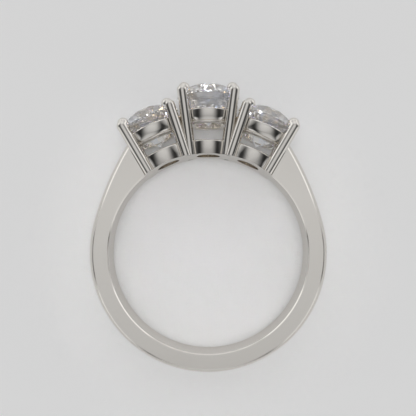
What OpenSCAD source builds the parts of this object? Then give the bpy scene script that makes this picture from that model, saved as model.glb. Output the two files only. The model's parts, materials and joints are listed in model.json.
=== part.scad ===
// Three stone ring: a plain shank, three four-prong heads and three round brilliants.
// The finger hole runs along Z through the origin, and the heads stand towards +Y.

/* [Finger hole] */
// Inside diameter of the ring
finger_d = 16.9; // [14:0.1:21]
// Radius of the soft inner edges
inner_edge_r = 0.2; // [0.1:0.05:0.35]

/* [Shank] */
// Width of the shank along the finger
shank_w = 3.05; // [2.2:0.05:4]
// Height of the flat side face above the finger hole
side_face_h = 1.35; // [1:0.05:2]
// Height of the low dome above the side faces
dome_h = 0.45; // [0.25:0.05:0.7]
// Width of the bevel between dome and side face
bevel_w = 0.12; // [0.05:0.01:0.2]
// Radius of the long arc that lifts each shoulder to its head
shoulder_r = 26; // [20:0.5:40]
// Angle from the top of the ring at which the shoulders begin
shoulder_start = 75; // [65:1:85]
// How deep each shoulder's arc starts inside the band, so that the two surfaces cross
shoulder_sink = 0.02; // [0.01:0.005:0.04]

/* [Stones] */
// Girdle diameter of each stone
stone_d = 5.35; // [4.4:0.05:6]
// Diameter of the table over its corners
table_d = 2.84; // [2.4:0.02:3.4]
// Thickness of the girdle at its thinnest
girdle_h = 0.12; // [0.05:0.01:0.25]
// Slope of the main crown facets
crown_angle = 34.5; // [32:0.5:36]
// Slope of the main pavilion facets
pavilion_angle = 41.2; // [40:0.2:43]
// Share of the stone's radius at which the lower half facets end
lower_tip_share = 0.23; // [0.15:0.01:0.35]
// Gap between a stone and the metal that holds it
stone_gap = 0.03; // [0.02:0.01:0.06]

/* [Heads] */
// Height of the centre stone's table above the middle of the finger hole
centre_table_h = 14.45; // [13.9:0.05:15.5]
// How much lower the side stones' tables lie, along their own heads
side_table_drop = 1; // [0.5:0.05:1.6]
// Lean of the side heads from the centre head
side_lean = 24.2; // [23:0.2:27]
// Height of the centre head's upper rail above the finger hole
centre_rail_h = 2.72; // [2.4:0.02:2.9]
// Height of the side heads' upper rails above the finger hole
side_rail_h = 2.35; // [2:0.05:2.4]
// Depth of an upper rail from its lower to its upper edge
rail_depth = 1.05; // [0.6:0.05:1.1]
// Radius of the opening at the lower edge of an upper rail
rail_opening_r = 1.33; // [1:0.01:1.5]
// Wall of an upper rail at its upper edge, in the middle of a side
rail_wall = 0.3; // [0.25:0.01:0.4]
// Height of the lower collars above the finger hole
collar_h = 1.15; // [0.8:0.05:1.6]
// Radius of the light hole under each stone
light_hole_r = 1; // [0.6:0.05:1.1]
// Radius of the rounded upper edge of rails and collars
rail_edge_r = 0.12; // [0.05:0.01:0.15]
// Radius of the rounded lower edge of an upper rail
rail_curl_r = 0.35; // [0.1:0.05:0.45]

/* [Prongs] */
// Diameter of a prong's wire
prong_d = 0.91; // [0.7:0.01:1.1]
// Diameter of the rounded tip of a prong
tip_d = 0.97; // [0.9:0.01:1.2]
// How far a tip leans in over the stone
tip_lean = 0.24; // [0.1:0.02:0.3]
// Height of a tip's middle above the girdle
tip_h = 0.34; // [0.2:0.02:0.5]
// How deep the girdle sits in a prong
prong_bite = 0.1; // [0.05:0.01:0.2]
// Distance from head axis to prong axis at the finger hole, centre head
centre_foot_r = 2.1; // [1.9:0.02:2.5]
// Distance from head axis to prong axis at the finger hole, side heads
side_foot_r = 2.43; // [2.2:0.02:2.7]
// How deep rails and collars run into the prongs
solder_depth = 0.06; // [0.04:0.01:0.1]
// How far the shoulders stop outside the prongs' axes
shoulder_stop = 0.2; // [0:0.05:0.3]

/* [Hidden] */
$fn = 96;

finger_r = finger_d / 2;
half_w = shank_w / 2;
side_face_r = finger_r + side_face_h;
dome_top_r = side_face_r + dome_h;
side_table_h = centre_table_h - side_table_drop;
dome_arc_r = (half_w * half_w + dome_h * dome_h) / (2 * dome_h);
bevel_slope = 30;
// How far a shape runs past the finger hole's wall before the hole cuts it
overrun = 1;

stone_r = stone_d / 2;
table_r = table_d / 2;
crown_h = (stone_r - table_r) * tan(crown_angle);
pavilion_h = stone_r * tan(pavilion_angle);
prong_r = prong_d / 2;
tip_r = tip_d / 2;
girdle_foot_r = stone_r + prong_r - prong_bite;
// A wire's round end stands a hair out of its shaft, and ends this far below its tip's middle
wire_end_r = prong_r + 0.005;
wire_stop = 0.2;

// One row for each head: its turn about the finger axis, the height of its table,
// the height of its rail above the finger hole and the distance of its prong feet
HEAD_TURN = 0;
HEAD_TABLE = 1;
HEAD_RAIL = 2;
HEAD_FOOT = 3;
centre_head = [0, centre_table_h, centre_rail_h, centre_foot_r];
left_head = [side_lean, side_table_h, side_rail_h, side_foot_r];
right_head = [-side_lean, side_table_h, side_rail_h, side_foot_r];
heads = [centre_head, left_head, right_head];

// Height of a head's girdle above the middle of the finger hole
function girdle_level(head) = head[HEAD_TABLE] - crown_h - girdle_h / 2;

// Distance of a prong's axis from the head's axis, at a height above the finger axis
function prong_axis_r(head, level) =
    head[HEAD_FOOT] + (girdle_foot_r - head[HEAD_FOOT])
    * (level - finger_r) / (girdle_level(head) - finger_r);

// Lean of a head's prongs, rails and collars away from its axis
function flare(head) = atan((girdle_foot_r - head[HEAD_FOOT]) / (girdle_level(head) - finger_r));

// Outer radius of a head's rail or collar at a height above the finger axis
function rail_outer_r(head, level) = prong_axis_r(head, level) - prong_r + solder_depth;

// Stone

// Main facets round the crown, and as many round the pavilion
MAIN_FACETS = 8;
LAST = MAIN_FACETS - 1;
sector = 360 / MAIN_FACETS;
half_sector = sector / 2;
// Steps of the girdle's edge along one half facet
HALF_STEPS = 4;
SECTOR_STEPS = 2 * HALF_STEPS;
GIRDLE_POINTS = MAIN_FACETS * SECTOR_STEPS;

// The point where two main facets of the crown meet the star facet
star_tip_r = (table_r * cos(half_sector) + stone_r) / 2;
star_tip_h = crown_h - (star_tip_r * cos(half_sector) - table_r) * tan(crown_angle);
lower_tip_r = stone_r * lower_tip_share;
lower_tip_h = lower_tip_r * cos(half_sector) * tan(pavilion_angle) - pavilion_h;

function on_circle(r, a, h) = [r * cos(a), r * sin(a), h];

// How far the edge of a half facet dips at a step between its two ends. The facet is a
// plane through the inner tip and both ends, so the dip follows from the circle alone.
function dip(tip_r, tip_h, step) =
    let (a = half_sector * step / HALF_STEPS,
         middle = half_sector / 2,
         chord_share = stone_r * cos(a - middle) - stone_r * cos(middle),
         tip_share = stone_r * cos(middle) - tip_r * cos(middle))
    tip_h * chord_share / tip_share;

// The crown's foot lies on the plane h = 0, and the pavilion starts girdle_rim below it
function stone_points() = concat(
    [for (i = [0:LAST]) on_circle(table_r, half_sector + sector * i, crown_h)],
    [for (i = [0:LAST]) on_circle(star_tip_r, sector * i, star_tip_h)],
    [for (i = [0:GIRDLE_POINTS - 1])
        on_circle(stone_r, i * 360 / GIRDLE_POINTS, -dip(star_tip_r, star_tip_h, i % HALF_STEPS))],
    [for (i = [0:GIRDLE_POINTS - 1])
        on_circle(stone_r, i * 360 / GIRDLE_POINTS,
            -girdle_rim - dip(lower_tip_r, lower_tip_h, i % HALF_STEPS))],
    [for (i = [0:LAST]) on_circle(lower_tip_r, sector * i, lower_tip_h - girdle_rim)],
    [[0, 0, -pavilion_h - girdle_rim]]);

// The two dips leave girdle_h between them where the girdle is thinnest
girdle_rim = girdle_h + dip(star_tip_r, star_tip_h, HALF_STEPS / 2)
    - dip(lower_tip_r, lower_tip_h, HALF_STEPS / 2);

// Where each circle of points starts in the list, the table's being the first
STAR = MAIN_FACETS;
CROWN_EDGE = STAR + MAIN_FACETS;
PAVILION_EDGE = CROWN_EDGE + GIRDLE_POINTS;
LOWER = PAVILION_EDGE + GIRDLE_POINTS;
CULET = LOWER + MAIN_FACETS;

function next(i) = (i + 1) % MAIN_FACETS;

function stone_faces() = concat(
    [[for (i = [LAST:-1:0]) i]],
    [for (i = [0:LAST]) [i, next(i), STAR + next(i)]],
    [for (i = [0:LAST])
        [i, STAR + next(i), CROWN_EDGE + i * SECTOR_STEPS + HALF_STEPS, STAR + i]],
    [for (i = [0:LAST]) concat([STAR + i],
        [for (s = [HALF_STEPS:-1:0]) CROWN_EDGE + i * SECTOR_STEPS + s])],
    [for (i = [0:LAST]) concat([STAR + next(i)],
        [for (s = [SECTOR_STEPS:-1:HALF_STEPS])
            CROWN_EDGE + (i * SECTOR_STEPS + s) % GIRDLE_POINTS])],
    [for (i = [0:GIRDLE_POINTS - 1])
        let (j = (i + 1) % GIRDLE_POINTS)
        [CROWN_EDGE + i, CROWN_EDGE + j, PAVILION_EDGE + j, PAVILION_EDGE + i]],
    [for (i = [0:LAST]) concat([LOWER + i],
        [for (s = [0:HALF_STEPS]) PAVILION_EDGE + i * SECTOR_STEPS + s])],
    [for (i = [0:LAST]) concat([LOWER + next(i)],
        [for (s = [HALF_STEPS:SECTOR_STEPS])
            PAVILION_EDGE + (i * SECTOR_STEPS + s) % GIRDLE_POINTS])],
    [for (i = [0:LAST])
        [CULET, LOWER + i, PAVILION_EDGE + i * SECTOR_STEPS + HALF_STEPS, LOWER + next(i)]]);

module brilliant() {
    polyhedron(points = stone_points(), faces = stone_faces());
}

// Places a head's own frame: its axis leaves the finger hole along the local Z
module at_head(head) {
    rotate([0, 0, head[HEAD_TURN]])
        rotate([-90, 0, 0])
            children();
}

module stone(head) {
    color([0.93, 0.94, 0.97])
        at_head(head)
            translate([0, 0, head[HEAD_TABLE] - crown_h])
                brilliant();
}

// The room that a stone takes, with its gap all round, as one turned solid
module stone_room(head) {
    crown_foot = stone_gap;
    girdle_foot = -girdle_rim - stone_gap;
    r = stone_r + stone_gap;
    translate([0, 0, head[HEAD_TABLE] - crown_h])
        rotate_extrude()
            polygon([
                [0, girdle_foot - r * tan(pavilion_angle)],
                [r, girdle_foot],
                [r, crown_foot],
                [table_r, crown_foot + (r - table_r) * tan(crown_angle)],
                [0, crown_foot + (r - table_r) * tan(crown_angle)]]);
}

// Points of an arc from one angle to another, for the round edges of a profile
function arc(centre, r, from, to, steps = 6) =
    [for (i = [0:steps])
        let (a = from + (to - from) * i / steps)
        centre + r * [cos(a), sin(a)]];

// Shank

// Outline of the metal across the shank, with r from the centre of its outer arc
module shank_section(arc_r, depth) {
    side_r = arc_r - dome_h;
    reach = dome_h + bevel_w;
    intersection() {
        translate([arc_r - dome_arc_r, 0])
            circle(dome_arc_r);
        polygon([
            [arc_r - depth, -half_w],
            [side_r - bevel_w, -half_w],
            [side_r + reach, -half_w + (reach + bevel_w) * tan(bevel_slope)],
            [side_r + reach, half_w - (reach + bevel_w) * tan(bevel_slope)],
            [side_r - bevel_w, half_w],
            [arc_r - depth, half_w]]);
    }
}

band_depth = side_face_h + dome_h + overrun / 2;
shoulder_depth = 3 * band_depth;
shoulder_sweep = 22;
// The band runs on for this angle inside both shoulders
run_on = 14;

module lower_band() {
    rotate([0, 0, 90 + shoulder_start - run_on])
        rotate_extrude(angle = 360 - 2 * shoulder_start + 2 * run_on)
            shank_section(dome_top_r, band_depth);
}

// A shoulder's outer arc continues the band's and opens wider towards the head
module left_shoulder() {
    shift = shoulder_r - dome_top_r + shoulder_sink;
    rotate([0, 0, 90 + shoulder_start])
        translate([-shift, 0, 0])
            rotate([0, 0, -shoulder_sweep])
                rotate_extrude(angle = shoulder_sweep)
                    shank_section(shoulder_r, shoulder_depth);
}

module finger_room() {
    cylinder(r = finger_r, h = 4 * shank_w, center = true);
}

// Takes the sharp corner off the finger hole's edges with a turned quarter round
module inner_edge_room() {
    corner = [finger_r + inner_edge_r, half_w - inner_edge_r];
    for (side = [0, 1])
        mirror([0, 0, side])
            rotate_extrude()
                polygon(concat(
                    arc(corner, inner_edge_r, 90, 180),
                    [[finger_r - overrun, half_w - inner_edge_r],
                     [finger_r - overrun, half_w + overrun],
                     [finger_r + inner_edge_r, half_w + overrun]]));
}

// Everything on the inner side of the plane through a side head's two outer prongs
module head_side_room() {
    level = girdle_level(left_head);
    splay = atan((girdle_foot_r - side_foot_r) / sqrt(2) / (level - finger_r));
    reach = 2 * level;
    rotate([0, 0, side_lean])
        translate([-girdle_foot_r / sqrt(2) - shoulder_stop, level, 0])
            rotate([0, 0, splay])
                translate([0, -reach, -shank_w])
                    cube([reach, 2 * reach, 2 * shank_w]);
}

module shank() {
    difference() {
        union() {
            lower_band();
            for (side = [0, 1])
                mirror([side, 0, 0])
                    difference() {
                        left_shoulder();
                        head_side_room();
                    }
        }
        inner_edge_room();
    }
}

// Heads

module upper_rail(head) {
    low = finger_r + head[HEAD_RAIL];
    high = low + rail_depth;
    lean = flare(head);
    top_r = rail_outer_r(head, high);
    low_r = rail_outer_r(head, low);
    rotate_extrude()
        polygon(concat(
            [[rail_opening_r, low]],
            arc([low_r - rail_curl_r * tan(45 - lean / 2), low + rail_curl_r], rail_curl_r, -90, -lean),
            arc([top_r - rail_edge_r * tan(45 + lean / 2), high - rail_edge_r], rail_edge_r, -lean, 90),
            [[top_r - rail_wall, high]]));
}

module lower_collar(head) {
    low = finger_r - overrun;
    high = finger_r + collar_h;
    lean = flare(head);
    top_r = rail_outer_r(head, high);
    rotate_extrude()
        polygon(concat(
            [[light_hole_r, low], [rail_outer_r(head, low), low]],
            arc([top_r - rail_edge_r * tan(45 + lean / 2), high - rail_edge_r], rail_edge_r, -lean, 90),
            [[light_hole_r, high]]));
}

// A straight wire with a round end, and a rounded tip that leans in from that end
module prong(head) {
    foot_level = finger_r - overrun;
    tip_level = girdle_level(head) + tip_h;
    end_level = tip_level - wire_stop;
    foot = prong_axis_r(head, foot_level);
    end = prong_axis_r(head, end_level);
    translate([foot, 0, foot_level])
        rotate([0, flare(head), 0])
            cylinder(h = (end_level - foot_level) / cos(flare(head)), r = prong_r);
    translate([end, 0, end_level])
        sphere(r = wire_end_r);
    translate([prong_axis_r(head, tip_level) - tip_lean, 0, tip_level])
        sphere(r = tip_r);
}

module head_metal(head) {
    difference() {
        union() {
            upper_rail(head);
            lower_collar(head);
            for (corner = [0:3])
                rotate([0, 0, 45 + 90 * corner])
                    prong(head);
        }
        stone_room(head);
    }
}

module shank_and_heads() {
    color([0.78, 0.77, 0.74])
        difference() {
            union() {
                shank();
                for (head = heads)
                    at_head(head)
                        head_metal(head);
            }
            finger_room();
        }
}

shank_and_heads();
stone(centre_head);  // centre_stone
stone(left_head);  // left_stone
stone(right_head);  // right_stone
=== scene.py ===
# %% [markdown]
# A three stone ring. Three round brilliants stand in a row of four-prong heads on a plain
# polished band. The ring lies on its side, so the finger hole points up at the camera.
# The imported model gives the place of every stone. This lesson dresses it: it turns the
# metal's parts from small outlines, cuts their seats, and sets up metal, stones and light.

# %% Load the frame
import json
import math
from collections import namedtuple

import bmesh
import bpy
from mathutils import Matrix, Vector


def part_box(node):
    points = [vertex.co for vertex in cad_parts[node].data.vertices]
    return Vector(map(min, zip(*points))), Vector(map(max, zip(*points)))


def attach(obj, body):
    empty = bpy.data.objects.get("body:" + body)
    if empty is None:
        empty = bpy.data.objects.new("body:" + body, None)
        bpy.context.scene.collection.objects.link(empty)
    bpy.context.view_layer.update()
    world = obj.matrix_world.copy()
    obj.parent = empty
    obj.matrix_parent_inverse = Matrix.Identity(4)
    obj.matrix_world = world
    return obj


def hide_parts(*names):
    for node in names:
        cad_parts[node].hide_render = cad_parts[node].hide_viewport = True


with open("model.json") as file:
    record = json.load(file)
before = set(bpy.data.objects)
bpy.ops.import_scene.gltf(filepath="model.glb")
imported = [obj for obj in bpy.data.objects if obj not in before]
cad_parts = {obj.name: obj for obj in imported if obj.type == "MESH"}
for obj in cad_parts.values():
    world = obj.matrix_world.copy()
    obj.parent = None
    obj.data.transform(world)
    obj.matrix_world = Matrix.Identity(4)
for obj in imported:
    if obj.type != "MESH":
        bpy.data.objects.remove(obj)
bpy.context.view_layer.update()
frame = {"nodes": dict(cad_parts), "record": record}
MM = 0.001

# %% [markdown]
# The camera comes first, because everything else is judged through it. It looks straight
# down into the finger hole from about five centimetres, close enough that the near side
# of the band hides its outer wall and the far side of the hole shows its inner wall.
# The lens is shifted a little, which puts the tall head and the band in the frame's middle.

# %% Camera
CAMERA_HEIGHT = 50.2 * MM
CAMERA_Y = 2.27 * MM
FRAME_PX = 416
RING_DOWN_PX = 19.0
RING_RIGHT_PX = 0.3

camera_data = bpy.data.cameras.new("camera")
camera_data.lens = 50
camera_data.sensor_width = 36
camera_data.clip_start = 1 * MM
camera_data.clip_end = 10
camera_data.shift_y = RING_DOWN_PX / FRAME_PX
camera_data.shift_x = -RING_RIGHT_PX / FRAME_PX
camera = bpy.data.objects.new("camera", camera_data)
camera.location = (0, CAMERA_Y, CAMERA_HEIGHT)
bpy.context.scene.collection.objects.link(camera)
bpy.context.scene.camera = camera
bpy.context.scene.view_settings.view_transform = "Standard"
print("camera in mm:", [round(v / MM, 2) for v in camera.location])

# %% [markdown]
# The sizes. A few come from the frame itself: the finger hole's radius from the record, and
# the stones' girdle and the middle stone's top from its box. The rest are the ring's drawing,
# with heights counted from the middle of the finger hole along a head's axis. Everything is
# drawn in millimetres, as a jeweller does, and becomes metres when a piece is finished.

# %% Sizes of the ring
FINGER_R = frame["record"]["mounts"][0]["dims"]["r_mm"]
stone_low, stone_high = (Vector(corner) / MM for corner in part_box("centre_stone"))
STONE_R = (stone_high.z - stone_low.z) / 2

HALF_W = 3.05 / 2
INNER_BEVEL = 0.085
SIDE_FACE_R = FINGER_R + 1.31
DOME_H = 0.49
BEVEL_W = 0.11
BEVEL_DEPTH = 0.07
SHOULDER_R = 26
SHOULDER_START = math.radians(75)

CROWN_H = 0.8625
GIRDLE_H = 0.12
GIRDLE_RIM = 0.211
PAVILION_TAN = math.tan(math.radians(41.2))
TABLE_R = 1.42
SEAT_GAP = 0.03

PRONG_R = 0.455
PRONG_BITE = 0.1
SOLDER_DEPTH = 0.18
RAIL_DEPTH = 1.2
RAIL_OPENING_R = 1.6
RAIL_WALL = 0.3
RAIL_EDGE_R = 0.16
RAIL_CURL_R = 0.8
RAIL_CURL_END = 42
RAIL_LIP_R = 0.07
RAIL_LIP_OUT = 0.04
COLLAR_H = 1.15
COLLAR_SWELL = 0.15
LIGHT_HOLE_R = 1.0

# A head's turn, the levels of its stone's table and its rail's foot, and its prongs' foot radius
Head = namedtuple("Head", "name turn table rail foot_r")
OUTER_TURN = math.radians(24.2)
OUTER_SIZES = {"table": 13.45, "rail": FINGER_R + 2.2, "foot_r": 2.43}
HEADS = [
    Head("centre", turn=0.0, table=stone_high.y, rail=FINGER_R + 2.57, foot_r=2.1),
    Head("left", turn=OUTER_TURN, **OUTER_SIZES),
    Head("right", turn=-OUTER_TURN, **OUTER_SIZES),
]
GIRDLE_FOOT_R = STONE_R + PRONG_R - PRONG_BITE


def girdle_level(head):
    return head.table - CROWN_H - GIRDLE_H / 2


def flare(head):
    """Lean of a head's prongs, rails and collars away from its axis."""
    return math.atan((GIRDLE_FOOT_R - head.foot_r) / (girdle_level(head) - FINGER_R))


def prong_axis_r(head, level):
    return head.foot_r + (level - FINGER_R) * math.tan(flare(head))


def rail_outer_r(head, level):
    return prong_axis_r(head, level) - PRONG_R + SOLDER_DEPTH


def head_place(head):
    """A head is drawn with its axis along Z, and stands in the ring with it along Y."""
    return Matrix.Rotation(head.turn, 4, "Z") @ Matrix.Rotation(math.radians(-90), 4, "X")


print("stone radius in mm:", round(STONE_R, 3))
print("prong lean in degrees:", round(math.degrees(flare(HEADS[0])), 2))

# %% [markdown]
# Two helpers serve the whole lesson. One turns a finished bmesh into an object with smooth
# shading that still breaks at real edges. The other is the lathe: jewellers turn and draw
# most parts of a ring, so an outline of a few points is spun about an axis.

# %% Helpers for pieces
POLISH_BREAK = math.radians(24)
WELD_DIST = 1e-5
FACE_WEIGHT = 80


def polyline(bm, points, closed):
    """Joins points in the XZ plane by edges, and returns the edges."""
    verts = [bm.verts.new((r, 0, z)) for r, z in points]
    pairs = list(zip(verts, verts[1:]))
    if closed:
        pairs.append((verts[-1], verts[0]))
    return [bm.edges.new(pair) for pair in pairs]


def arc(centre, radius, start, end, steps):
    """Points of an arc, with angles in degrees."""
    angles = [math.radians(start + (end - start) * i / steps) for i in range(steps + 1)]
    return [(centre[0] + radius * math.cos(a), centre[1] + radius * math.sin(a)) for a in angles]


def lathe(bm, points, steps, closed=True):
    """Spins an outline a whole turn about the Z axis."""
    edges = polyline(bm, points, closed)
    geom = edges + list({v for e in edges for v in e.verts})
    bmesh.ops.spin(bm, geom=geom, cent=(0, 0, 0), axis=(0, 0, 1), angle=math.tau,
                   steps=steps, use_merge=True, use_duplicate=False)
    bmesh.ops.remove_doubles(bm, verts=bm.verts, dist=WELD_DIST)
    bmesh.ops.recalc_face_normals(bm, faces=bm.faces)


def loose_object(bm, name):
    """Puts a bmesh into an object as it is."""
    mesh = bpy.data.meshes.new(name)
    bm.to_mesh(mesh)
    bm.free()
    made = bpy.data.objects.new(name, mesh)
    bpy.context.scene.collection.objects.link(made)
    return made


def make_piece(bm, name, material):
    """Turns a bmesh in millimetres into a smooth-shaded object in metres, with sharp edges
    where the metal turns hard."""
    bm.transform(Matrix.Scale(MM, 4))
    for face in bm.faces:
        face.smooth = True
    for edge in bm.edges:
        if len(edge.link_faces) == 2:
            edge.smooth = edge.calc_face_angle() < POLISH_BREAK
    piece = loose_object(bm, name)
    piece.data.materials.append(material)
    return piece


def even_normals(piece):
    """Lets wide flat faces rule the shading over the narrow rounds beside them."""
    weighted = piece.modifiers.new("even normals", "WEIGHTED_NORMAL")
    weighted.keep_sharp = True
    weighted.weight = FACE_WEIGHT


# %% [markdown]
# The metal is white gold with a mirror polish. A mirror has little colour of its own to vary,
# so its life comes from the room and from tiny faults. Three noises on Object coordinates
# draw them: one shifts the colour a little, one the roughness, and one, squeezed along the
# finger hole's axis, is a fine bump for the hairlines that a polishing wheel leaves round the
# ring. The tint for slanting light keeps rims and inner walls as grey as real white gold.

# %% Material: polished white gold
FACE_TINTS = [(0.78, 0.75, 0.708, 1), (0.815, 0.79, 0.75, 1)]
SLANT_TINT = (0.86, 0.85, 0.84, 1)
# Noise scales count per metre
TINT_SCALE = 260
POLISH_SCALE = 900
ROUGHNESS_MIN = 0.04
ROUGHNESS_MAX = 0.08
HAIRLINE_SCALE = 1500
HAIRLINE_SQUEEZE = (1.0, 1.0, 14.0)
HAIRLINE_STRENGTH = 0.1
HAIRLINE_DEPTH = 0.02 * MM


def new_material(name):
    material = bpy.data.materials.new(name)
    material.use_nodes = True
    nodes = material.node_tree.nodes
    return material, nodes, material.node_tree.links, nodes["Principled BSDF"]


def noise(nodes, links, vector, scale, detail):
    texture = nodes.new("ShaderNodeTexNoise")
    texture.inputs["Scale"].default_value = scale
    texture.inputs["Detail"].default_value = detail
    links.new(vector, texture.inputs["Vector"])
    return texture.outputs["Fac"]


def white_gold(name):
    material, nodes, links, shader = new_material(name)
    shader.inputs["Metallic"].default_value = 1.0
    shader.inputs["Specular Tint"].default_value = SLANT_TINT
    place = nodes.new("ShaderNodeTexCoord").outputs["Object"]

    tints = nodes.new("ShaderNodeValToRGB")
    for element, tint in zip(tints.color_ramp.elements, FACE_TINTS):
        element.color = tint
    links.new(noise(nodes, links, place, TINT_SCALE, detail=3), tints.inputs["Fac"])
    links.new(tints.outputs["Color"], shader.inputs["Base Color"])

    polish = nodes.new("ShaderNodeMapRange")
    polish.inputs["To Min"].default_value = ROUGHNESS_MIN
    polish.inputs["To Max"].default_value = ROUGHNESS_MAX
    links.new(noise(nodes, links, place, POLISH_SCALE, detail=4), polish.inputs["Value"])
    links.new(polish.outputs["Result"], shader.inputs["Roughness"])

    squeeze = nodes.new("ShaderNodeMapping")
    squeeze.inputs["Scale"].default_value = HAIRLINE_SQUEEZE
    links.new(place, squeeze.inputs["Vector"])
    bump = nodes.new("ShaderNodeBump")
    bump.inputs["Strength"].default_value = HAIRLINE_STRENGTH
    bump.inputs["Distance"].default_value = HAIRLINE_DEPTH
    hairlines = noise(nodes, links, squeeze.outputs["Vector"], HAIRLINE_SCALE, detail=5)
    links.new(hairlines, bump.inputs["Height"])
    links.new(bump.outputs["Normal"], shader.inputs["Normal"])
    return material


metal = white_gold("polished_white_gold")
print("metal:", metal.name)

# %% [markdown]
# A diamond is clear, bends light more than any other gem and splits it into colours. The
# stones keep their own facets from the frame, flat and sharp as a cutter leaves them. Noise
# on each facet's direction paints it a faint warm, clear or bluish tint, which stands in for
# the coloured light a diamond splits off. Light runs to and fro many times inside a stone,
# so the render follows it for more turns than usual.

# %% Material: diamond
DIAMOND_IOR = 2.42
FIRE_HUE_SCALE = 6
# Each painted fire tint holds from its noise level up to the next
FACET_FIRE_TINTS = [(0.0, (0.97, 0.91, 0.83)), (0.42, (0.96, 0.96, 0.95)),
               (0.54, (0.93, 0.94, 0.96)), (0.60, (0.82, 0.87, 0.98))]
STONE_BOUNCES = 40
MIRROR_BOUNCES = 24


def diamond(name):
    material, nodes, links, shader = new_material(name)
    shader.inputs["Transmission Weight"].default_value = 1.0
    shader.inputs["IOR"].default_value = DIAMOND_IOR
    shader.inputs["Roughness"].default_value = 0.0
    facing = nodes.new("ShaderNodeNewGeometry").outputs["Normal"]
    # Painted fire: a faint tint per facet stands in for the coloured light a diamond splits off
    tints = nodes.new("ShaderNodeValToRGB")
    tints.color_ramp.interpolation = "CONSTANT"
    elements = tints.color_ramp.elements
    elements[1].position = FACET_FIRE_TINTS[-1][0]
    for position, _ in FACET_FIRE_TINTS[1:-1]:
        elements.new(position)
    for element, (_, tint) in zip(elements, FACET_FIRE_TINTS):
        element.color = (*tint, 1)
    links.new(noise(nodes, links, facing, FIRE_HUE_SCALE, detail=2), tints.inputs["Fac"])
    links.new(tints.outputs["Color"], shader.inputs["Base Color"])
    return material


cycles = bpy.context.scene.cycles
cycles.max_bounces = STONE_BOUNCES
cycles.transmission_bounces = STONE_BOUNCES
cycles.glossy_bounces = MIRROR_BOUNCES
clear_diamond = diamond("diamond")
for head in HEADS:
    stone = frame["nodes"][f"{head.name}_stone"]
    stone.data.materials.clear()
    stone.data.materials.append(clear_diamond)
    print(stone.name, "facets:", len(stone.data.polygons))

# %% [markdown]
# The shank is drawn wire with a flat on each side, a low dome outside and a fine bevel on
# every edge. Its section is spun round the finger hole for the lower part. Each shoulder then
# grows from the end of that spin: step by step the section is extruded, its inner points
# turn on about the finger hole, and its outer points turn about the centre of a far
# larger arc, so the metal swells towards the head as one smooth sweep.

# %% Shank
SPIN_STEP = math.radians(1.5)
SHOULDER_STEPS = 40
SHOULDER_INNER_TURN = math.radians(37.7)
SHOULDER_OUTER_TURN = math.radians(17.0)
OUTER_FROM_R = FINGER_R + 0.8
DOME_STEPS = 24


def shank_outline():
    """The section as points (radius, z), from the inner wall round the dome and back."""
    dome_arc_r = (HALF_W ** 2 + DOME_H ** 2) / (2 * DOME_H)
    dome_centre = SIDE_FACE_R + DOME_H - dome_arc_r
    dome_end = math.degrees(math.asin((HALF_W - BEVEL_DEPTH) / dome_arc_r))
    dome = arc((dome_centre, 0), dome_arc_r, -dome_end, dome_end, DOME_STEPS)
    face_edge = dome[0][0] - BEVEL_W
    inner = FINGER_R + INNER_BEVEL
    wall = [(FINGER_R, HALF_W - INNER_BEVEL), (FINGER_R, -HALF_W + INNER_BEVEL)]
    low_side = [(inner, -HALF_W), (face_edge, -HALF_W)]
    return wall + low_side + dome + [(face_edge, HALF_W), (inner, HALF_W)]


def grow_shoulder(bm, edges, side):
    """Extrudes one end of the band up to the head. side is -1 on the left and 1 on the right."""
    start = math.radians(90) - side * SHOULDER_START
    shift = SHOULDER_R - SIDE_FACE_R - DOME_H
    centre = Vector((-shift * math.cos(start), -shift * math.sin(start), 0))
    inner_step = Matrix.Rotation(side * SHOULDER_INNER_TURN / SHOULDER_STEPS, 4, "Z")
    outer_step = Matrix.Rotation(side * SHOULDER_OUTER_TURN / SHOULDER_STEPS, 4, "Z")
    for _ in range(SHOULDER_STEPS):
        grown = bmesh.ops.extrude_edge_only(bm, edges=edges)["geom"]
        verts = [g for g in grown if isinstance(g, bmesh.types.BMVert)]
        ends = set(verts)
        edges = [g for g in grown if isinstance(g, bmesh.types.BMEdge) and ends.issuperset(g.verts)]
        outer = [v for v in verts if v.co.xy.length > OUTER_FROM_R]
        inner = [v for v in verts if v.co.xy.length <= OUTER_FROM_R]
        bmesh.ops.rotate(bm, verts=inner, cent=(0, 0, 0), matrix=inner_step)
        bmesh.ops.rotate(bm, verts=outer, cent=centre, matrix=outer_step)
    bmesh.ops.contextual_create(bm, geom=edges)


def make_shank():
    bm = bmesh.new()
    start_edges = polyline(bm, shank_outline(), closed=True)
    first = Matrix.Rotation(math.radians(90) + SHOULDER_START, 4, "Z")
    bmesh.ops.rotate(bm, verts=bm.verts, cent=(0, 0, 0), matrix=first)
    sweep = math.tau - 2 * SHOULDER_START
    spun = bmesh.ops.spin(bm, geom=start_edges + list(bm.verts), cent=(0, 0, 0), axis=(0, 0, 1),
                          angle=sweep, steps=round(sweep / SPIN_STEP), use_duplicate=False)
    end_edges = [g for g in spun["geom_last"] if isinstance(g, bmesh.types.BMEdge)]
    grow_shoulder(bm, start_edges, -1)
    grow_shoulder(bm, end_edges, 1)
    bmesh.ops.recalc_face_normals(bm, faces=bm.faces)
    shank = make_piece(bm, "shank", metal)
    even_normals(shank)
    return shank


shank = make_shank()
print("shank:", len(shank.data.polygons), "faces")

# %% [markdown]
# A four-prong head has two turned parts. The upper rail is a short funnel that ties the
# prongs together under the stone. Its wall curls inwards at the foot, like a bowl, and ends
# in a thin lip. The lower collar stands on the finger hole, has a round light hole, and
# follows the hole's curve at its foot.

# %% Rails and collars
LATHE_STEPS = 96
WALL_TURN = 11
WALL_STEPS = 6
EDGE_STEPS = 6
CURL_STEPS = 12
LIP_END = 80
LIP_STEPS = 8
FOOT_TOLERANCE = 1e-4


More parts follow.
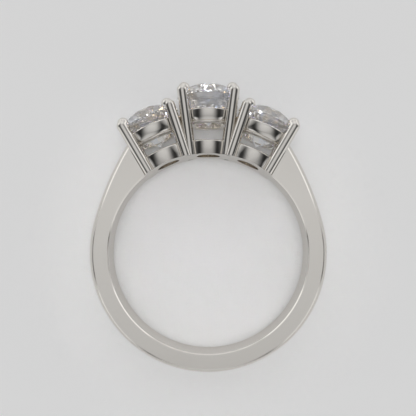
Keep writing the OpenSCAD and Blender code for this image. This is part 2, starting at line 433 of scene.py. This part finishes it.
def top_round(head, level, wall_r):
    """The rounded upper edge of a flared wall that has radius wall_r at a level."""
    lean = math.degrees(flare(head))
    centre_r = wall_r - RAIL_EDGE_R * math.tan(math.radians(45 + lean / 2))
    return arc((centre_r, level - RAIL_EDGE_R), RAIL_EDGE_R, -lean, 90, EDGE_STEPS)


def bulge(low, high):
    """Points inside a wall that swells a little between its two ends."""
    across, up = high[0] - low[0], high[1] - low[1]
    swell = math.hypot(across, up) / 2 * math.tan(math.radians(WALL_TURN / 4))
    shares = [i / WALL_STEPS for i in range(1, WALL_STEPS)]
    return [(low[0] + across * t + 4 * t * (1 - t) * swell, low[1] + up * t) for t in shares]


def make_rail(head):
    bm = bmesh.new()
    low, high = head.rail, head.rail + RAIL_DEPTH
    lean = math.degrees(flare(head))
    curl_low = low + 2 * RAIL_LIP_R
    curl_start = lean + WALL_TURN / 2
    curl_level = curl_low + RAIL_CURL_R * math.sin(math.radians(RAIL_CURL_END))
    wall_low = curl_level - RAIL_CURL_R * math.sin(math.radians(curl_start))
    curl_r = rail_outer_r(head, wall_low) - RAIL_CURL_R * math.cos(math.radians(curl_start))
    curl = arc((curl_r, curl_level), RAIL_CURL_R, -RAIL_CURL_END, -curl_start, CURL_STEPS)
    lip_centre = (curl[0][0] + RAIL_LIP_OUT, low + RAIL_LIP_R)
    lip = arc(lip_centre, RAIL_LIP_R, -90, LIP_END, LIP_STEPS)
    top = top_round(head, high, rail_outer_r(head, high))
    outline = [(RAIL_OPENING_R, low)] + lip + curl + bulge(curl[-1], top[0]) + top
    outline.append((rail_outer_r(head, high) - RAIL_WALL, high))
    lathe(bm, outline, LATHE_STEPS)
    bm.transform(head_place(head))
    return make_piece(bm, f"{head.name}_rail", metal)


def make_collar(head):
    bm = bmesh.new()
    low, high = FINGER_R, FINGER_R + COLLAR_H
    foot = (rail_outer_r(head, low) + COLLAR_SWELL, low)
    top = top_round(head, high, rail_outer_r(head, high) + COLLAR_SWELL)
    outline = [(LIGHT_HOLE_R, low), foot] + bulge(foot, top[0]) + top + [(LIGHT_HOLE_R, high)]
    lathe(bm, outline, LATHE_STEPS)
    for vert in bm.verts:
        if abs(vert.co.z - low) < FOOT_TOLERANCE:
            vert.co.z = math.sqrt(FINGER_R ** 2 - vert.co.x ** 2)
    bm.transform(head_place(head))
    return make_piece(bm, f"{head.name}_collar", metal)


rails = [make_rail(head) for head in HEADS]
collars = [make_collar(head) for head in HEADS]
print("rails:", len(rails), "collars:", len(collars))

# %% [markdown]
# Two cutters shape the prongs: a turned copy of the stone's own room leaves the notch that
# holds the girdle, and the finger hole trims the foot.

# %% Cutters
FINGER_CUT_STEPS = 360
FINGER_CUT_H = 8 * HALF_W


def seat_cutter(head):
    bm = bmesh.new()
    r = STONE_R + SEAT_GAP
    foot, low = head.table - CROWN_H + SEAT_GAP, head.table - CROWN_H - GIRDLE_RIM - SEAT_GAP
    top = foot + (r - TABLE_R) * CROWN_H / (STONE_R - TABLE_R)
    outline = [(0, low - r * PAVILION_TAN), (r, low), (r, foot), (TABLE_R, top), (0, top)]
    lathe(bm, outline, LATHE_STEPS, closed=False)
    bm.transform(head_place(head))
    return loose_object(bm, "seat_cutter")


def finger_cutter():
    bm = bmesh.new()
    bmesh.ops.create_cone(bm, cap_ends=True, segments=FINGER_CUT_STEPS, radius1=FINGER_R,
                          radius2=FINGER_R, depth=FINGER_CUT_H)
    return loose_object(bm, "finger_cutter")


def cut(bm, cutters):
    """Subtracts cutters from a bmesh, and returns what is left as a new one."""
    blank = loose_object(bm, "blank")
    for cutter in cutters:
        knife = blank.modifiers.new("cut", "BOOLEAN")
        knife.operation = "DIFFERENCE"
        knife.solver = "EXACT"
        knife.object = cutter
    depsgraph = bpy.context.evaluated_depsgraph_get()
    left = bmesh.new()
    left.from_mesh(blank.evaluated_get(depsgraph).data)
    bpy.data.objects.remove(blank)
    return left


# %% [markdown]
# A prong is a straight wire with a round end. The setter presses that end over the stone
# and rounds it off, so it spreads into a small ball that leans inwards. Here every point
# of the wire that would lie inside the ball is pushed out to it, and the crease between
# the two is rubbed smooth.

# %% Prongs
TIP_R = 0.485
TIP_LEAN = 0.24
TIP_H = 0.34
WIRE_STOP = 0.2
PRONG_SIDES = 40
PRONG_STEPS = 12
PRONG_BELOW = 1.0
FINE_RUN = 0.6
CREASE_RINGS = 2


def press_tip(bm, wire_end, ball):
    """Pushes a wire's round end out to a ball, and smooths the crease between the two."""
    inside = (wire_end + ball) / 2
    on_ball = set()
    for vert in bm.verts:
        if (vert.co - ball).length < TIP_R:
            way = (vert.co - inside).normalized()
            to_ball = ball - inside
            along = way.dot(to_ball)
            reach = along + math.sqrt(along ** 2 + TIP_R ** 2 - to_ball.length_squared)
            vert.co = inside + way * reach
            on_ball.add(vert)
    crease = {v for e in bm.edges if len(on_ball & set(e.verts)) == 1 for v in e.verts}
    for _ in range(CREASE_RINGS):
        bmesh.ops.smooth_vert(bm, verts=list(crease), factor=0.5,
                              use_axis_x=True, use_axis_y=True, use_axis_z=True)
        crease |= {e.other_vert(v) for v in crease for e in v.link_edges}


def make_prong(head, corner, cutters):
    bm = bmesh.new()
    lean = flare(head)
    foot_level = FINGER_R - PRONG_BELOW
    tip_level = girdle_level(head) + TIP_H
    end_level = tip_level - WIRE_STOP
    wire = (end_level - foot_level) / math.cos(lean)
    shares = [i / PRONG_STEPS for i in range(PRONG_STEPS)]
    shaft = [(PRONG_R, (wire - FINE_RUN) * t) for t in shares]
    neck = [(PRONG_R, wire - FINE_RUN + FINE_RUN * t) for t in shares]
    dome = arc((0, wire), PRONG_R, 0, 90, PRONG_STEPS)[:-1] + [(0, wire + PRONG_R)]
    lathe(bm, [(0, 0)] + shaft + neck + dome, PRONG_SIDES, closed=False)
    bm.transform(Matrix.Rotation(lean, 4, "Y"))
    bm.transform(Matrix.Translation((prong_axis_r(head, foot_level), 0, foot_level)))
    wire_end = Vector((prong_axis_r(head, end_level), 0, end_level))
    ball = Vector((prong_axis_r(head, tip_level) - TIP_LEAN, 0, tip_level))
    press_tip(bm, wire_end, ball)
    bm.transform(Matrix.Rotation(math.radians(45 + 90 * corner), 4, "Z"))
    bm.transform(head_place(head))
    return make_piece(cut(bm, cutters), f"{head.name}_prong_{corner + 1}", metal)


finger_knife = finger_cutter()
prongs = []
for head in HEADS:
    seat_knife = seat_cutter(head)
    prongs += [make_prong(head, corner, [seat_knife, finger_knife]) for corner in range(4)]
    bpy.data.objects.remove(seat_knife)
bpy.data.objects.remove(finger_knife)
print("prongs:", len(prongs))

# %% [markdown]
# All metal pieces stand for the one soldered solid of the frame, and the ring has a single
# body, so each of them rides on it.

# %% Ride on the frame
metal_pieces = [shank] + rails + collars + prongs
for piece in metal_pieces:
    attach(piece, "root")
    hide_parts("shank_and_heads")
print("metal pieces:", len(metal_pieces))

# %% [markdown]
# The ring lies on its side as it would by itself: on the girdles of the two outer stones
# and on the back of the band. It stays upright here, so the table leans those few degrees.
# The table glows faintly, in place of light that a real pale room would send back to it.

# %% Table
REST_HEAD_Y = 11.45
REST_BACK_Y = -SIDE_FACE_R
REST_HEAD_Z = -STONE_R
REST_BACK_Z = -HALF_W
TABLE_SIZE = 3000
TABLE_GAP = 0.02
TABLE_COLOUR = (0.80, 0.80, 0.80, 1)
TABLE_ROUGHNESS = 0.6
TABLE_SHINE = 0.2
TABLE_GLOW = 0.12
slope = (REST_HEAD_Z - REST_BACK_Z) / (REST_HEAD_Y - REST_BACK_Y)


def make_table():
    bm = bmesh.new()
    bmesh.ops.create_grid(bm, x_segments=2, y_segments=2, size=TABLE_SIZE / 2)
    bm.transform(Matrix.Rotation(math.atan(slope), 4, "X"))
    clear = REST_BACK_Z - slope * REST_BACK_Y - TABLE_GAP
    bm.transform(Matrix.Translation((0, 0, clear)))
    material, nodes, links, shader = new_material("pale_table")
    shader.inputs["Base Color"].default_value = TABLE_COLOUR
    shader.inputs["Roughness"].default_value = TABLE_ROUGHNESS
    shader.inputs["Specular IOR Level"].default_value = TABLE_SHINE
    shader.inputs["Emission Color"].default_value = (1, 1, 1, 1)
    shader.inputs["Emission Strength"].default_value = TABLE_GLOW
    table = make_piece(bm, "table", material)
    return table


table = make_table()
print("table leans in degrees:", round(math.degrees(math.atan(slope)), 2))

# %% [markdown]
# Polished metal and diamonds show the room more than themselves, so the room is drawn with
# care. Overhead hangs a wide soft light that fades to dark cards on the left and right, and
# the cards give each wire and rail its dark stripes. A low soft box stands in each of the
# room's four corners, and the four put the bright flashes on rims and tips.

# %% Room light
# Each list is (how far the direction leans, how bright the room is there)
CARDS = [(0.0, 1.0), (0.22, 0.95), (0.35, 0.77), (0.47, 0.43), (0.585, 0.125),
         (0.64, 0.065), (0.69, 0.05), (0.74, 0.06), (0.83, 0.14), (0.93, 0.28),
         (0.97, 0.42), (0.99, 0.95), (1.0, 1.0)]
NEAR_TO_FAR = [(-1.0, 0.62), (-0.55, 0.56), (-0.40, 0.42), (-0.2, 0.60), (0.05, 0.70),
               (0.25, 0.64), (0.40, 0.45), (0.55, 0.76), (0.8, 0.78), (0.9, 0.95),
               (0.97, 0.8), (1.0, 0.75)]
# The corner boxes follow lean aside squared times lean onward, which peaks near 0.385
CORNER_END = 0.4
CORNER_BOXES = [(-CORNER_END, 0.75), (-0.31, 0.75), (-0.26, 0.45), (-0.2, 0.0), (0.08, 0.0),
                (0.14, 0.25), (0.23, 0.5), (0.29, 1.0), (CORNER_END, 1.0)]


def shade_ramp(nodes, stops):
    ramp = nodes.new("ShaderNodeValToRGB")
    elements = ramp.color_ramp.elements
    elements[0].position, elements[1].position = stops[0][0], stops[-1][0]
    for position, _ in stops[1:-1]:
        elements.new(position)
    for element, (_, shade) in zip(elements, stops):
        element.color = (shade, shade, shade, 1)
    return ramp


def lean_ramp(nodes, links, lean, low, high, stops):
    """A ramp over how far a direction leans, for leans between low and high."""
    share = nodes.new("ShaderNodeMapRange")
    share.inputs["From Min"].default_value = low
    share.inputs["From Max"].default_value = high
    links.new(lean, share.inputs["Value"])
    ramp = shade_ramp(nodes, [((at - low) / (high - low), shade) for at, shade in stops])
    links.new(share.outputs["Result"], ramp.inputs["Fac"])
    return ramp.outputs["Color"]


def blend(nodes, links, kind, first, second):
    mix = nodes.new("ShaderNodeMix")
    mix.data_type = "RGBA"
    mix.blend_type = kind
    mix.inputs["Factor"].default_value = 1.0
    links.new(first, mix.inputs["A"])
    links.new(second, mix.inputs["B"])
    return mix.outputs["Result"]


def room_light():
    world = bpy.data.worlds.new("studio")
    bpy.context.scene.world = world
    world.use_nodes = True
    nodes, links = world.node_tree.nodes, world.node_tree.links
    coords = nodes.new("ShaderNodeTexCoord")
    split = nodes.new("ShaderNodeSeparateXYZ")
    links.new(coords.outputs["Generated"], split.inputs["Vector"])
    aside = nodes.new("ShaderNodeMath")
    aside.operation = "ABSOLUTE"
    links.new(split.outputs["X"], aside.inputs[0])
    corner = aside.outputs[0]
    for factor in (aside.outputs[0], split.outputs["Y"]):
        product = nodes.new("ShaderNodeMath")
        product.operation = "MULTIPLY"
        links.new(corner, product.inputs[0])
        links.new(factor, product.inputs[1])
        corner = product.outputs[0]

    cards = lean_ramp(nodes, links, aside.outputs[0], 0, 1, CARDS)
    sky = lean_ramp(nodes, links, split.outputs["Y"], -1, 1, NEAR_TO_FAR)
    corners = lean_ramp(nodes, links, corner, -CORNER_END, CORNER_END, CORNER_BOXES)
    overhead = blend(nodes, links, "MULTIPLY", cards, sky)
    room = blend(nodes, links, "ADD", overhead, corners)
    links.new(room, nodes["Background"].inputs["Color"])


room_light()
print("room light:", bpy.context.scene.world.name)

# %% [markdown]
# A photographer lights the table and the stones apart from the metal. Light linking gives
# Blender the same freedom. A round light overhead reaches the table alone, and a narrow one
# at its middle makes the floor inside the finger hole a little paler. Small lamps reach the
# stones alone, so they leave no hard spots on the band, the rails or the prongs.
# Some of the small lamps are coloured, and stand in for the colours a diamond splits off.
# Two large dim discs at the sides fill the stones' depths where they look at the dark cards.

# %% Lights for the table and the stones
LIGHT_DISTANCE = 300 * MM
SPARK_SIZE = 18 * MM
SPARK_POWER = 0.010
# Rings of small lamps: degrees above the table, how many, and where the first one stands
SPARK_RINGS = [(9, 16, 12), (19, 18, 30), (29, 20, 8), (39, 20, 40), (49, 18, 75), (59, 16, 4),
               (69, 11, 20), (79, 6, 50)]
SPARK_COLOURS = [(1, 1, 1), (0.45, 0.62, 1), (1, 1, 1), (1, 0.68, 0.38), (1, 1, 0.95),
                 (0.72, 0.56, 1), (1, 1, 1)]
FILL_ABOVE = 38
FILL_SIZE = 260 * MM
FILL_POWER = 0.013
TABLE_LIGHT_SIZE = 160 * MM
TABLE_LIGHT_POWER = 0.198
POOL_SIZE = 17 * MM
POOL_SPREAD = math.radians(4)
POOL_POWER = 0.00034


def group(name, objects):
    made = bpy.data.collections.new(name)
    for member in objects:
        made.objects.link(member)
    return made


def hang_light(name, around, above, size, power, lit, spread=math.pi, colour=(1, 1, 1)):
    """Hangs a disc of light that faces the middle of the finger hole, with its direction
    given as degrees around the ring and degrees above the table."""
    data = bpy.data.lights.new(name, "AREA")
    data.shape = "DISK"
    data.size = size
    data.energy = power
    data.spread = spread
    data.color = colour
    lamp = bpy.data.objects.new(name, data)
    away = Vector((LIGHT_DISTANCE, 0, 0))
    away.rotate(Matrix.Rotation(math.radians(-above), 3, "Y"))
    away.rotate(Matrix.Rotation(math.radians(around), 3, "Z"))
    lamp.location = away
    lamp.rotation_euler = away.to_track_quat("Z", "Y").to_euler()
    lamp.light_linking.receiver_collection = lit
    bpy.context.scene.collection.objects.link(lamp)


stones = group("stones", [frame["nodes"][f"{head.name}_stone"] for head in HEADS])
sparks = [(above, first + 360 * turn / count) for above, count, first in SPARK_RINGS
          for turn in range(count)]
for number, (above, around) in enumerate(sparks):
    hang_light(f"spark_{number + 1}", around, above, SPARK_SIZE, SPARK_POWER, stones,
               colour=SPARK_COLOURS[number % len(SPARK_COLOURS)])
for side, around in (("right", 0), ("left", 180)):
    hang_light(f"{side}_fill", around, FILL_ABOVE, FILL_SIZE, FILL_POWER, stones)
table_only = group("table only", [table])
hang_light("table_light", 90, 90, TABLE_LIGHT_SIZE, TABLE_LIGHT_POWER, table_only)
hang_light("pool_light", 90, 90, POOL_SIZE, POOL_POWER, table_only, POOL_SPREAD)
print("small lamps:", len(sparks))
